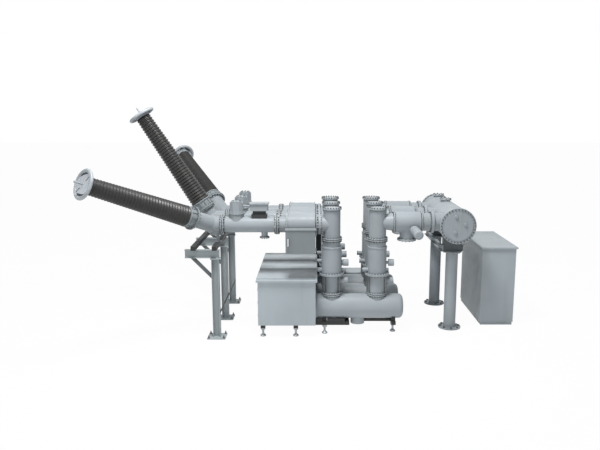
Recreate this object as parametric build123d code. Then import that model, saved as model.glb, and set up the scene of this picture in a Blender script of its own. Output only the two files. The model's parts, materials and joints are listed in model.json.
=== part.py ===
from build123d import *
import os
from math import cos, radians, sin

# Gas insulated breaker bay, outdoor, three phases. Millimetres, +Z up, ground at Z = 0.
# +X runs from the line bushings towards the busbar and the control cabinet, -Y is the cabinet
# front side. The origin is on the ground at the middle of the bay's outline.

os.makedirs("parts", exist_ok=True)

# ---- driving dimensions -------------------------------------------------------------------

# layout
PHASE_SPACING = 1050
MIDDLE_PHASE_Y = -190
LEFT_TOWER_X = 380
TOWER_SPACING = 1230
LINE_AXIS_Z = 2965
FIT_GAP = 0.3

# flanges and the dark insulating discs clamped between them
FLANGE_T = 36
SPACER_T = 18
SPACER_STEP = 12
EDGE_BREAK = 5

# base frame and levelling feet
FRAME_BEAM = 90
FRAME_TOP_Z = 330
RAIL_WIDTH = 100
TIE_WIDTH = 120
RAIL_OFFSET = 240
RAIL_TAIL = 420
RUNNER_DEPTH = 60
RUNNER_WIDTH = 90
CABINET_TIE_INSET = 50
CABINET_FOOT_INSET = 140
TAIL_FOOT_OFFSET = 80
FOOT_PAD_R = 75
FOOT_SCREW_R = 28
FOOT_PAD_T = 25
FOOT_CONE_TOP = 70
FOOT_HEAD_R = 65
FOOT_HEAD_T = 45

# breaker tanks
TANK_R = 335
TANK_CLEARANCE = 35
TANK_TAIL = 438
TANK_OVERHANG = 710
TANK_DISH_R = 110
TANK_FLANGE_STEP = 40
NOZZLE_R = 250
NOZZLE_FLANGE_R = 282
NOZZLE_RISE = 30
BELLY_R = 190
BELLY_DROP = 140
BELLY_OFFSET = 715
SADDLE_FROM_TOWER = 190
SADDLE_HALF_SPAN = 240
SADDLE_THICKNESS = 100
SADDLE_HEIGHT = 190

# current transformer towers
NECK_R = {"left": 195, "right": 232}
LOW_FLANGE_R = 335
LOW_FLANGE_T = 62
LOW_FLANGE_RISE = 520
CT_BARREL_R = {"left": 270, "right": 255}
CT_RING_STEP = 10
CT_RING_T = 40
CT_COLLAR_R = 236
CT_COLLAR_LENGTH = 165
TOWER_FLANGE_R = 276
VALVE_R = 95
VALVE_STEM_R = 38
VALVE_HEAD_START = 305
VALVE_HEAD_LENGTH = 150
VALVE_RISE = 330
GAUGE_R = 62
GAUGE_RISE = 130
GAUGE_REACH = 390
POT_R = 88
POT_REACH = 440
POT_DROP = 165

# tower heads
TOWER_JOINT_DROP = 390
HEAD_R = 230
HEAD_RISE = 385
HEAD_GROOVE = 15
CAP_R = 262
CAP_T = 45
CAP_GAP = 24

# line side run, along -X from the left towers
LINE_R = 215
LINE_FLANGE_R = 270
LINE_BRANCH = 440
BRANCH_RING_START = 296
BRANCH_RING_LENGTH = 66
ISOLATOR_R = 298
ISOLATOR_FLANGE_R = 325
ISOLATOR_LENGTH = 770
SPOOL_LENGTH = 260
TUBE_LENGTH = 1455
DRAIN_PORT_FROM_TUBE_START = 340
DRAIN_PORT_R = 85
DRAIN_FLANGE_R = 135
DRAIN_FLANGE_T = 25
DRAIN_REACH = 150
ELBOW_ARM = {"a": 290, "b": 460, "c": 290}
ELBOW_R = 238
ELBOW_POST_FROM_FACE = 145
ELBOW_POT_R = 134
ELBOW_POT_OFFSET = 80
ELBOW_POT_DROP = 275
ELBOW_STEM_R = 45
ELBOW_STEM_PLATE_R = 110
ELBOW_STEM_PLATE_T = 20

# line bushings
BUSHING_AZIMUTH = {"a": 46, "b": 0, "c": -59}
BUSHING_ELEVATION = {"a": 21, "b": 57, "c": 24}
BUSHING_NECK = {"a": 670, "b": 340, "c": 670}
NECK_FLANGE_STEP = 20
COLLAR_LENGTH = 250
COLLAR_R = 255
COLLAR_FLANGE_R = 315
COLLAR_FLANGE_T = 40
COLLAR_END_STEP = 25
COLLAR_RIBS = 12
COLLAR_RIB_T = 14
INSULATOR_LENGTH = 2790
SHED_COUNT = 34
SHED_R_BASE = 276
SHED_R_TOP = 206
SHED_DEPTH = 24
RING_R = 375
RING_TUBE_R = 42
RING_HEIGHT = 66
RING_PLATE_T = 16
RING_WINDOW_R = 283
RING_WINDOW_SIDE = 420
CAP_PLATE_R = 190
TERMINAL_R = 24
TERMINAL_LENGTH = 220

# line earthing switches and their drive
SWITCH_FROM_TUBE_END = 375
STUB_R = 192
STUB_RISE = 325
STUB_FLANGE_R = 215
SWITCH_BASE_R = 190
SWITCH_WIDTH = 340
SWITCH_CORNER = 90
SWITCH_HEIGHT = 310
SWITCH_LID_T = 30
DRIVE_BOX_FROM_SWITCH = 380
DRIVE_BOX_LENGTH = 460
DRIVE_BOX_DEPTH = 300
DRIVE_BOX_RISE = 380
DRIVE_BOX_HEIGHT = 175
DRIVE_LID_STEP = 25
DRIVE_LID_T = 35
DRIVE_LEG_INSET = 60
DRIVE_BASE_INSET = 25
DRIVE_BASE_RISE = 285
DRIVE_SHAFT_RISE = 500
DRIVE_SHAFT_R = 26

# drive cabinet hung beside the near isolator
SIDE_CAB_WIDTH = 780
SIDE_CAB_DEPTH = 300
SIDE_CAB_DROP = 675
SIDE_CAB_HEIGHT = 620
SIDE_CAB_OFFSET = 330
SIDE_BRACKET_WIDTH = 60
SIDE_BRACKET_DROP = (265, 105)
SIDE_BRACKET_FROM_END = 150
SHEET = 20
ROOF_SHEET_T = 16
DOOR_T = 24
DOOR_GAP = 5
DOOR_EDGE = 6
HANDLE_WIDTH = 32
HANDLE_HEIGHT = 160
HANDLE_DEPTH = 30
HANDLE_FROM_EDGE = 70
HINGE_FROM_END = 110
KNUCKLE_R = 12
KNUCKLE_LENGTH = 60
KNUCKLE_GAP = 1
LUG_T = 14
HINGE_PIN_R = 7
PIN_CLEARANCE = 0.08

# busbar side run, along +X from the right towers
BUS_RUN_RISE = 65
BUS_RUN_R = 240
BUS_RUN_FLANGE_R = 290
BUS_BRANCH = 450
BUS_BRANCH_ROOT_R = 165
BUS_ISOLATOR_R = 280
BUS_ISOLATOR_LENGTH = 690
DOWN_NOZZLE_FROM_FACE = 338
DOWN_NOZZLE_R = 190
DOWN_NOZZLE_FLANGE_R = 255
DOWN_NOZZLE_FLANGE_T = 50
DOWN_NOZZLE_DROP = 495
SIDE_DRIVE_FROM_FACE = 495
SIDE_BOSS_R = 100
SIDE_BOSS_REACH = 330
SIDE_BOSS_DROP = 170
SIDE_DRIVE_R = 122
SIDE_DRIVE_LENGTH = 740
SIDE_DRIVE_ROUND = 60
SIDE_LINK_R = 30

# busbar
BUS_R = 445
BUS_FLANGE_R = 478
BUS_FLANGE_T = 45
BUS_COVER_T = 40
BUS_COVER_STEP = 15
BUS_BOSS_R = 45
BUS_BOSS_REACH = 45
BUS_BOSS_PLACES = ((-70, 260), (180, 50), (-80, -160))
BUS_AXIS_DROP = 50
BUS_FROM_TOWER = 2080
BUS_NEAR_OVERHANG = 365
BUS_FAR_OVERHANG = 645
BUS_SPOOL_FLANGE = 275
BUS_PORT_PLACES = (300, 1350)
BUS_PORT_R = 120
BUS_PORT_FLANGE_R = 170
BUS_PORT_FLANGE_T = 40
BUS_PORT_RISE = 505

# busbar columns
BUS_COLUMN_NEAR = 800
BUS_COLUMN_FAR = 1480
BUS_COLUMN_R = 165
BUS_COLUMN_HEAD_R = 262
BUS_COLUMN_HEAD_T = 30
BUS_SADDLE_DROP = 790
BUS_SADDLE_HEIGHT = 400
BUS_SADDLE_TOP_SPAN = 265
BUS_SADDLE_FOOT_SPAN = 255
BUS_SADDLE_WIDTH = 180
COLUMN_BASE_R = 310
COLUMN_BASE_T = 40
COLUMN_PCD = 520
COLUMN_HOLES = 8
COLUMN_HOLE_R = 15

# mechanism cabinet under the line side
MECH_LENGTH = 1530
MECH_OVERHANG = 600
MECH_TOP_Z = 1520
ROOF_T = 50
ROOF_OVERHANG = 45
ROOF_PANEL_COUNT = 3
ROOF_PANEL_SHARE = 0.76
ROOF_PANEL_T = 18

# low cabinet on the ground behind the tanks
REAR_CABINET_X = (450, 1700)
REAR_CABINET_CLEARANCE = 45
REAR_CABINET_DEPTH = 640
REAR_CABINET_HEIGHT = 1000
REAR_CABINET_PLINTH = 90
REAR_CABINET_STEP = 20

# post behind the far phase with a cradle under its branch
POST_X = (-10, 115)
POST_CLEARANCE = 15
POST_DEPTH = 90
CRADLE_HEIGHT = 90
CRADLE_BITE = 35
CRADLE_WIDTH = 90
CRADLE_HALF_SPAN = 120

# line side support
SUPPORT_OVERHANG = 550
SUPPORT_TOP_DROP = 795
COLUMN_SECTION = 190
COLUMN_WEB = 10
COLUMN_FLANGE = 16
COLUMN_PLATE_X = 480
COLUMN_PLATE_Y = 440
COLUMN_PLATE_T = 30
COLUMN_HEAD_X = 240
COLUMN_HEAD_Y = 200
PLATE_HOLE_R = 17
PLATE_HOLE_X = 400
PLATE_HOLE_Y = 360
BRACKET_REACH = 790
BRACKET_TAIL = 120
BRACKET_HEIGHT = 220
BRACKET_WIDTH = 120
BRACKET_WEB = 10
BRACKET_FLANGE = 14
KNEE_DROP = 560
KNEE_DEPTH = 110
KNEE_FROM_END = 150
KNEE_HALF_T = 40
CROSSBEAM_HEIGHT = 110
CROSSBEAM_WIDTH = 120
CROSSBEAM_END = 150
CROSSBEAM_FROM_TIP = 240
TIE_Z = 700
TIE_HEIGHT = 65
TIE_T = 12
TIE_GAP = 30

# control cabinet
CONTROL_FROM_BUS = 900
CONTROL_WIDTH = 930
CONTROL_NEAR = 630
CONTROL_FAR = 1770
CONTROL_HEIGHT = 2200
CONTROL_PLINTH = 90
CONTROL_PLINTH_STEP = 20
CONTROL_ROOF_OVERHANG = 40
CONTROL_ROOF_T = 45

# ---- stations worked out from the driving dimensions --------------------------------------

PHASES = {
    "a": MIDDLE_PHASE_Y - PHASE_SPACING,
    "b": MIDDLE_PHASE_Y,
    "c": MIDDLE_PHASE_Y + PHASE_SPACING,
}
TOWERS = {"left": LEFT_TOWER_X, "right": LEFT_TOWER_X + TOWER_SPACING}
FACE = SPACER_T / 2

TANK_AXIS_Z = FRAME_TOP_Z + TANK_CLEARANCE + TANK_R
NOZZLE_TOP_Z = TANK_AXIS_Z + TANK_R + NOZZLE_RISE
BELLY_X = LEFT_TOWER_X + BELLY_OFFSET
LOW_FLANGE_Z = NOZZLE_TOP_Z + LOW_FLANGE_RISE
TOWER_JOINT_Z = LINE_AXIS_Z - TOWER_JOINT_DROP
CT_BARREL_TOP_Z = TOWER_JOINT_Z - FLANGE_T - CT_COLLAR_LENGTH
HEAD_TOP_Z = LINE_AXIS_Z + HEAD_RISE

TANK_START_X = LEFT_TOWER_X - TANK_TAIL
ISOLATOR_X = LEFT_TOWER_X - LINE_BRANCH
SPOOL_X = ISOLATOR_X - ISOLATOR_LENGTH
TUBE_X = SPOOL_X - SPOOL_LENGTH
ELBOW_FACE_X = TUBE_X - TUBE_LENGTH
ELBOW_X = {phase: ELBOW_FACE_X - arm for phase, arm in ELBOW_ARM.items()}
ELBOW_POST_X = ELBOW_FACE_X - ELBOW_POST_FROM_FACE
SWITCH_X = ELBOW_FACE_X + SWITCH_FROM_TUBE_END
STUB_TOP_Z = LINE_AXIS_Z + STUB_RISE
SWITCH_TOP_Z = STUB_TOP_Z + SWITCH_HEIGHT
DRIVE_BOX_X = SWITCH_X + DRIVE_BOX_FROM_SWITCH
DRIVE_BOX_Z = LINE_AXIS_Z + DRIVE_BOX_RISE
DRIVE_SHAFT_Z = LINE_AXIS_Z + DRIVE_SHAFT_RISE

SUPPORT_X = ELBOW_POST_X
SUPPORT_TOP_Z = LINE_AXIS_Z - SUPPORT_TOP_DROP
SUPPORT_SPREAD = PHASE_SPACING + SUPPORT_OVERHANG
SUPPORT_Y = [MIDDLE_PHASE_Y + step * SUPPORT_SPREAD for step in (-1, 0, 1)]
BRACKET_TOP_Z = SUPPORT_TOP_Z + BRACKET_HEIGHT
CROSSBEAM_TOP_Z = BRACKET_TOP_Z + CROSSBEAM_HEIGHT

BUS_RUN_AXIS_Z = LINE_AXIS_Z + BUS_RUN_RISE
BUS_AXIS_Z = BUS_RUN_AXIS_Z - BUS_AXIS_DROP
BUS_ISOLATOR_X = TOWERS["right"] + BUS_BRANCH
BUS_FACE_X = BUS_ISOLATOR_X + BUS_ISOLATOR_LENGTH
BUS_X = TOWERS["right"] + BUS_FROM_TOWER
BUS_Y = (PHASES["a"] - BUS_NEAR_OVERHANG, PHASES["c"] + BUS_FAR_OVERHANG)
BUS_COLUMN_TOP_Z = BUS_AXIS_Z - BUS_SADDLE_DROP
SIDE_DRIVE_X = BUS_ISOLATOR_X + SIDE_DRIVE_FROM_FACE
SIDE_DRIVE_Z = BUS_RUN_AXIS_Z - SIDE_BOSS_DROP
CONTROL_X = BUS_X + CONTROL_FROM_BUS

SIDE_CAB_X = (ISOLATOR_X - SIDE_CAB_WIDTH, ISOLATOR_X)
SIDE_CAB_BACK_Y = PHASES["a"] - SIDE_CAB_OFFSET
SIDE_CAB_FRONT_Y = SIDE_CAB_BACK_Y - SIDE_CAB_DEPTH
SIDE_CAB_BOTTOM_Z = LINE_AXIS_Z - SIDE_CAB_DROP
SIDE_CAB_Z = (SIDE_CAB_BOTTOM_Z, SIDE_CAB_BOTTOM_Z + SIDE_CAB_HEIGHT)
HINGE_X = SIDE_CAB_X[1] + KNUCKLE_R + 2
HINGE_Y = SIDE_CAB_FRONT_Y - DOOR_GAP - DOOR_T / 2
HINGE_Z = (SIDE_CAB_Z[0] + HINGE_FROM_END, SIDE_CAB_Z[1] - HINGE_FROM_END)

MECH_X = (TANK_START_X - MECH_LENGTH, TANK_START_X)
MECH_Y = (PHASES["a"] - MECH_OVERHANG, PHASES["c"] + MECH_OVERHANG)
SADDLE_X = (LEFT_TOWER_X - SADDLE_FROM_TOWER, TOWERS["right"] + TANK_OVERHANG - 260)
CABINET_TIE_X = (MECH_X[0] + 120, MECH_X[0] + 1000)
RAIL_END_X = LEFT_TOWER_X + RAIL_TAIL
RAIL_Y = (
    PHASES["a"] - RAIL_OFFSET,
    PHASES["b"] - RAIL_OFFSET,
    PHASES["b"] + RAIL_OFFSET,
    PHASES["c"] + RAIL_OFFSET,
)


# ---- shared shapes ------------------------------------------------------------------------


def turned(*outline):
    """Solid of revolution about Z; the outline is (radius, height) points from low to high."""
    low, high = outline[0][1], outline[-1][1]
    points = [(0, low), *outline, (0, high)]
    return revolve(Plane.XZ * make_face(Polyline(*points, close=True)), Axis.Z)


def stepped(*runs):
    """Coaxial cylinders about Z, each (radius, low, high), with outer flange edges broken."""
    outline = []
    for index, (radius, low, high) in enumerate(runs):
        below = runs[index - 1][0] if index else 0
        above = runs[index + 1][0] if index + 1 < len(runs) else 0
        edge = EDGE_BREAK if high - low > 3 * EDGE_BREAK else 0
        if edge and radius > below + edge:
            outline += [(radius - edge, low), (radius, low + edge)]
        else:
            outline.append((radius, low))
        if edge and radius > above + edge:
            outline += [(radius, high - edge), (radius - edge, high)]
        else:
            outline.append((radius, high))
    return turned(*outline)


def rod(radius, low, high):
    """Plain cylinder about Z."""
    return turned((radius, low), (radius, high))


def along_x(solid, x, y, z):
    """Turn a solid built up along Z so that it lies along +X from the given point."""
    return Pos(x, y, z) * Rot(0, 90, 0) * solid


def along_minus_x(solid, x, y, z):
    """Turn a solid built up along Z so that it lies along -X from the given point."""
    return Pos(x, y, z) * Rot(0, -90, 0) * solid


def along_minus_y(solid, x, y, z):
    """Turn a solid built up along Z so that it lies along -Y from the given point."""
    return Pos(x, y, z) * Rot(90, 0, 0) * solid


def block(x, y, z):
    """Box from its (low, high) extents along each axis."""
    size = [high - low for low, high in (x, y, z)]
    middle = [(low + high) / 2 for low, high in (x, y, z)]
    return Pos(*middle) * Box(*size)


def around(middle, half):
    """Extents that reach the same way to both sides of a middle."""
    return (middle - half, middle + half)


def i_section(height, width, web, flange, length):
    """I beam along Z with its web in the XZ plane."""
    outline = Rectangle(height, width)
    outline -= Rectangle(height - 2 * flange, width)
    outline += Rectangle(height, web)
    return extrude(outline, length)


def keep(name, shape):
    export_step(Part(children=shape) if isinstance(shape, list) else shape, f"parts/{name}.step")


# ---- breaker poles ------------------------------------------------------------------------


def breaker_tank(y):
    length = TOWERS["right"] + TANK_OVERHANG - TANK_START_X
    shell = rod(TANK_R, FLANGE_T, length) + rod(TANK_R + TANK_FLANGE_STEP, 0, FLANGE_T)
    shell = fillet(shell.edges().group_by(Axis.Z)[-1], TANK_DISH_R)
    tank = along_x(shell, TANK_START_X, y, TANK_AXIS_Z)
    for x in TOWERS.values():
        nozzle = stepped(
            (NOZZLE_R, TANK_AXIS_Z, NOZZLE_TOP_Z - FLANGE_T),
            (NOZZLE_FLANGE_R, NOZZLE_TOP_Z - FLANGE_T, NOZZLE_TOP_Z - FACE),
        )
        tank += Pos(x, y, 0) * nozzle
    belly = rod(BELLY_R, TANK_AXIS_Z - TANK_R - BELLY_DROP, TANK_AXIS_Z)
    return tank + Pos(BELLY_X, y, 0) * belly


def current_transformer(side):
    """Tower barrel on its neck, with a valve and a gauge on the barrel and a pot on the neck."""
    low_top = LOW_FLANGE_Z + LOW_FLANGE_T
    barrel_r = CT_BARREL_R[side]
    tower = stepped(
        (NOZZLE_FLANGE_R, NOZZLE_TOP_Z + FACE, NOZZLE_TOP_Z + FLANGE_T),
        (NECK_R[side], NOZZLE_TOP_Z + FLANGE_T, LOW_FLANGE_Z),
        (LOW_FLANGE_R, LOW_FLANGE_Z, low_top),
        (barrel_r, low_top, CT_BARREL_TOP_Z - CT_RING_T),
        (barrel_r + CT_RING_STEP, CT_BARREL_TOP_Z - CT_RING_T, CT_BARREL_TOP_Z),
        (CT_COLLAR_R, CT_BARREL_TOP_Z, TOWER_JOINT_Z - FLANGE_T),
        (TOWER_FLANGE_R, TOWER_JOINT_Z - FLANGE_T, TOWER_JOINT_Z - FACE),
    )
    valve = stepped(
        (VALVE_STEM_R, 0, VALVE_HEAD_START),
        (VALVE_R, VALVE_HEAD_START, VALVE_HEAD_START + VALVE_HEAD_LENGTH),
    )
    tower += along_x(valve, 0, 0, LOW_FLANGE_Z + VALVE_RISE)
    tower += along_x(stepped((POT_R, 0, POT_REACH)), 0, 0, LOW_FLANGE_Z - POT_DROP)
    gauge = stepped((GAUGE_R, 0, GAUGE_REACH))
    return tower + along_minus_x(gauge, 0, 0, LOW_FLANGE_Z + GAUGE_RISE)


def tower_head(side):
    cap_low = HEAD_TOP_Z + CAP_GAP
    head = stepped(
        (TOWER_FLANGE_R, TOWER_JOINT_Z + FACE, TOWER_JOINT_Z + FLANGE_T),
        (HEAD_R, TOWER_JOINT_Z + FLANGE_T, HEAD_TOP_Z),
        (HEAD_R - HEAD_GROOVE, HEAD_TOP_Z, cap_low),
        (CAP_R, cap_low, cap_low + CAP_T),
    )
    if side == "left":
        ring_end = BRANCH_RING_START + BRANCH_RING_LENGTH
        branch = stepped(
            (LINE_R, 0, BRANCH_RING_START),
            (LINE_FLANGE_R, BRANCH_RING_START, ring_end),
            (LINE_R, ring_end, LINE_BRANCH - FLANGE_T),
            (LINE_FLANGE_R, LINE_BRANCH - FLANGE_T, LINE_BRANCH - FACE),
        )
        return head + along_minus_x(branch, 0, 0, LINE_AXIS_Z)
    branch = turned(
        (BUS_BRANCH_ROOT_R, 0),
        (BUS_RUN_R, BUS_BRANCH - FLANGE_T),
        (BUS_RUN_FLANGE_R, BUS_BRANCH - FLANGE_T),
        (BUS_RUN_FLANGE_R, BUS_BRANCH - FACE),
    )
    return head + along_x(branch, 0, 0, BUS_RUN_AXIS_Z)


def build_poles():
    for phase, y in PHASES.items():
        keep(f"breaker_tank_{phase}", breaker_tank(y))
        cts = [Pos(x, y, 0) * current_transformer(side) for side, x in TOWERS.items()]
        heads = [Pos(x, y, 0) * tower_head(side) for side, x in TOWERS.items()]
        keep(f"current_transformers_{phase}", cts)
        keep(f"tower_heads_{phase}", heads)


def flange_spacers():
    """Dark discs clamped in the flange joints of the towers and of both runs."""
    spacers = []
    for y in PHASES.values():
        for x in TOWERS.values():
            for radius, z in ((NOZZLE_FLANGE_R, NOZZLE_TOP_Z), (TOWER_FLANGE_R, TOWER_JOINT_Z)):
                spacers.append(Pos(x, y, z) * rod(radius - SPACER_STEP, -FACE, FACE))
        for x in (ISOLATOR_X, TUBE_X, ELBOW_FACE_X):
            spacers.append(along_x(rod(LINE_FLANGE_R - SPACER_STEP, -FACE, FACE), x, y, LINE_AXIS_Z))
        for x in (BUS_ISOLATOR_X, BUS_FACE_X):
            disc = rod(BUS_RUN_FLANGE_R - SPACER_STEP, -FACE, FACE)
            spacers.append(along_x(disc, x, y, BUS_RUN_AXIS_Z))
    return spacers


# ---- line side run ------------------------------------------------------------------------


def line_isolator(y):
    spool_end = ISOLATOR_LENGTH + SPOOL_LENGTH
    body = stepped(
        (ISOLATOR_FLANGE_R, FACE, FLANGE_T),
        (ISOLATOR_R, FLANGE_T, ISOLATOR_LENGTH - FLANGE_T),
        (ISOLATOR_FLANGE_R, ISOLATOR_LENGTH - FLANGE_T, ISOLATOR_LENGTH),
        (LINE_R, ISOLATOR_LENGTH, spool_end - FLANGE_T),
        (LINE_FLANGE_R, spool_end - FLANGE_T, spool_end - FACE),
    )
    return along_minus_x(body, ISOLATOR_X, y, LINE_AXIS_Z)


def line_tube(y):
    body = stepped(
        (LINE_FLANGE_R, FACE, FLANGE_T),
        (LINE_R, FLANGE_T, TUBE_LENGTH - FLANGE_T),
        (LINE_FLANGE_R, TUBE_LENGTH - FLANGE_T, TUBE_LENGTH - FACE),
    )
    stub = stepped(
        (STUB_R, LINE_AXIS_Z, STUB_TOP_Z - FLANGE_T),
        (STUB_FLANGE_R, STUB_TOP_Z - FLANGE_T, STUB_TOP_Z),
    )
    port_low = LINE_AXIS_Z - LINE_R - DRAIN_REACH
    port = stepped(
        (DRAIN_FLANGE_R, port_low, port_low + DRAIN_FLANGE_T),
        (DRAIN_PORT_R, port_low + DRAIN_FLANGE_T, LINE_AXIS_Z),
    )
    tube = along_minus_x(body, TUBE_X, y, LINE_AXIS_Z)
    tube += Pos(SWITCH_X, y, 0) * stub
    return tube + Pos(TUBE_X - DRAIN_PORT_FROM_TUBE_START, y, 0) * port


def bushing_place(phase):
    """Location at the elbow centre with Z along the bushing axis."""
    azimuth, elevation = radians(BUSHING_AZIMUTH[phase]), radians(BUSHING_ELEVATION[phase])
    direction = (-cos(elevation) * cos(azimuth), -cos(elevation) * sin(azimuth), sin(elevation))
    return Plane((ELBOW_X[phase], PHASES[phase], LINE_AXIS_Z), z_dir=direction).location


def elbow(phase):
    """Arm to the tube, round corner, neck to the bushing and a pot on a stem underneath."""
    y = PHASES[phase]
    arm = stepped((LINE_FLANGE_R, FACE, FLANGE_T), (LINE_R, FLANGE_T, ELBOW_ARM[phase]))
    neck_end = BUSHING_NECK[phase]
    neck = stepped(
        (LINE_R, 0, neck_end - FLANGE_T),
        (LINE_FLANGE_R + NECK_FLANGE_STEP, neck_end - FLANGE_T, neck_end),
    )
    stem = stepped(
        (ELBOW_STEM_PLATE_R, CROSSBEAM_TOP_Z, CROSSBEAM_TOP_Z + ELBOW_STEM_PLATE_T),
        (ELBOW_STEM_R, CROSSBEAM_TOP_Z + ELBOW_STEM_PLATE_T, LINE_AXIS_Z),
    )
    pot = rod(ELBOW_POT_R, LINE_AXIS_Z - ELBOW_POT_DROP, LINE_AXIS_Z)
    body = along_minus_x(arm, ELBOW_FACE_X, y, LINE_AXIS_Z)
    body += Pos(ELBOW_X[phase], y, LINE_AXIS_Z) * Sphere(ELBOW_R)
    body += bushing_place(phase) * neck
    body += Pos(ELBOW_POST_X - ELBOW_POT_OFFSET, y, 0) * pot
    return body + Pos(ELBOW_POST_X, y, 0) * stem


def bushing_collar(phase):
    """Clamping collar under the insulator, stiffened by ribs between its two flanges."""
    start = BUSHING_NECK[phase]
    rib_low = start + COLLAR_FLANGE_T
    rib_high = start + COLLAR_LENGTH - COLLAR_FLANGE_T
    end_r = COLLAR_R + COLLAR_END_STEP
    body = stepped(
        (COLLAR_FLANGE_R, start, rib_low),
        (COLLAR_R, rib_low, rib_high),
        (end_r, rib_high, start + COLLAR_LENGTH),
    )
    for turn in range(COLLAR_RIBS):
        rib = block((COLLAR_R - 10, end_r - 2), around(0, COLLAR_RIB_T / 2), (rib_low, rib_high))
        body += Rot(0, 0, 360 * turn / COLLAR_RIBS) * rib
    return bushing_place(phase) * body


def bushing_insulator(phase):
    start = BUSHING_NECK[phase] + COLLAR_LENGTH
    pitch = INSULATOR_LENGTH / SHED_COUNT
    outline = []
    for shed in range(SHED_COUNT):
        tip = SHED_R_BASE + (SHED_R_TOP - SHED_R_BASE) * (shed + 0.5) / SHED_COUNT
        low = start + shed * pitch
        outline.append((tip - SHED_DEPTH, low))
        outline.append((tip, low + 0.22 * pitch))
        outline.append((tip, low + 0.36 * pitch))
        outline.append((tip - SHED_DEPTH, low + 0.8 * pitch))
    outline.append((SHED_R_TOP - SHED_DEPTH, start + INSULATOR_LENGTH))
    return bushing_place(phase) * turned(*outline)


def bushing_top(phase):
    """Cap plate, grading ring on a plate with four windows, and the line terminal stud."""
    start = BUSHING_NECK[phase] + COLLAR_LENGTH + INSULATOR_LENGTH
    ring_z = start + RING_HEIGHT
    plate_top = ring_z + RING_PLATE_T / 2
    plate = rod(RING_R - RING_TUBE_R, plate_top - RING_PLATE_T, plate_top)
    window = rod(RING_WINDOW_R, plate_top - 2 * RING_PLATE_T, plate_top + RING_PLATE_T)
    window -= Pos(0, 0, ring_z) * Box(RING_WINDOW_SIDE, RING_WINDOW_SIDE, 4 * RING_PLATE_T)
    body = plate - Rot(0, 0, 45) * window
    tube = Pos(RING_R - RING_TUBE_R, ring_z) * Circle(RING_TUBE_R)
    body += revolve(Plane.XZ * tube, Axis.Z)
    body += rod(CAP_PLATE_R, start, plate_top)
    return bushing_place(phase) * (body + rod(TERMINAL_R, plate_top, plate_top + TERMINAL_LENGTH))


def earthing_switch(y):
    """Switch housing with broken corners on the tube's stub, under a round lid."""
    half = SWITCH_WIDTH / 2
    lid_low = SWITCH_TOP_Z - SWITCH_LID_T
    housing_z = (STUB_TOP_Z + FLANGE_T, lid_low)
    body = block(around(SWITCH_X, half), around(y, half), housing_z)
    body = chamfer(body.edges().filter_by(Axis.Z), SWITCH_CORNER)
    body += Pos(SWITCH_X, y, 0) * stepped((SWITCH_BASE_R, STUB_TOP_Z, STUB_TOP_Z + FLANGE_T))
    return body + Pos(SWITCH_X, y, 0) * stepped((half - 20, lid_low, SWITCH_TOP_Z))


def earthing_drive():
    """Drive box standing on the near tube, and the shafts from it to the three switches."""
    y = PHASES["a"]
    half = DRIVE_BOX_DEPTH / 2
    box_x = (DRIVE_BOX_X, DRIVE_BOX_X + DRIVE_BOX_LENGTH)
    box_top = DRIVE_BOX_Z + DRIVE_BOX_HEIGHT
    base_z = (LINE_AXIS_Z + LINE_R / 2, LINE_AXIS_Z + DRIVE_BASE_RISE)
    lid_x = (box_x[0] - DRIVE_LID_STEP, box_x[1] + DRIVE_LID_STEP)
    leg_x = (box_x[0] + DRIVE_LEG_INSET, box_x[1] - DRIVE_LEG_INSET)
    base_x = (box_x[0] + DRIVE_BASE_INSET, box_x[1] - DRIVE_BASE_INSET)
    body = block(box_x, around(y, half), (DRIVE_BOX_Z, box_top))
    body += block(lid_x, around(y, half + DRIVE_LID_STEP), (box_top, box_top + DRIVE_LID_T))
    body += block(leg_x, around(y, half - DRIVE_LEG_INSET), (base_z[0], DRIVE_BOX_Z))
    body += block(base_x, around(y, half - DRIVE_BASE_INSET), base_z)
    body -= along_minus_x(rod(LINE_R + FIT_GAP, 0, TUBE_LENGTH), TUBE_X, y, LINE_AXIS_Z)
    half_switch = SWITCH_WIDTH / 2
    shaft = rod(DRIVE_SHAFT_R, 0, DRIVE_BOX_X - SWITCH_X - half_switch)
    shafts = [body + along_x(shaft, SWITCH_X + half_switch, y, DRIVE_SHAFT_Z)]
    for far in ("b", "c"):
        link = rod(DRIVE_SHAFT_R, 0, PHASE_SPACING - SWITCH_WIDTH)
        shafts.append(along_minus_y(link, SWITCH_X, PHASES[far] - half_switch, DRIVE_SHAFT_Z))
    return shafts


def build_line_run():
    for phase, y in PHASES.items():
        keep(f"line_isolator_{phase}", line_isolator(y))
        keep(f"line_tube_{phase}", line_tube(y))
        keep(f"bushing_elbow_{phase}", elbow(phase))
        keep(f"bushing_insulator_{phase}", bushing_insulator(phase))
    keep("bushing_collars", [bushing_collar(phase) for phase in PHASES])
    keep("bushing_tops", [bushing_top(phase) for phase in PHASES])
    keep("earthing_switches", [earthing_switch(y) for y in PHASES.values()])
    keep("earthing_drive", earthing_drive())


# ---- drive cabinet beside the near isolator -----------------------------------------------


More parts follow.
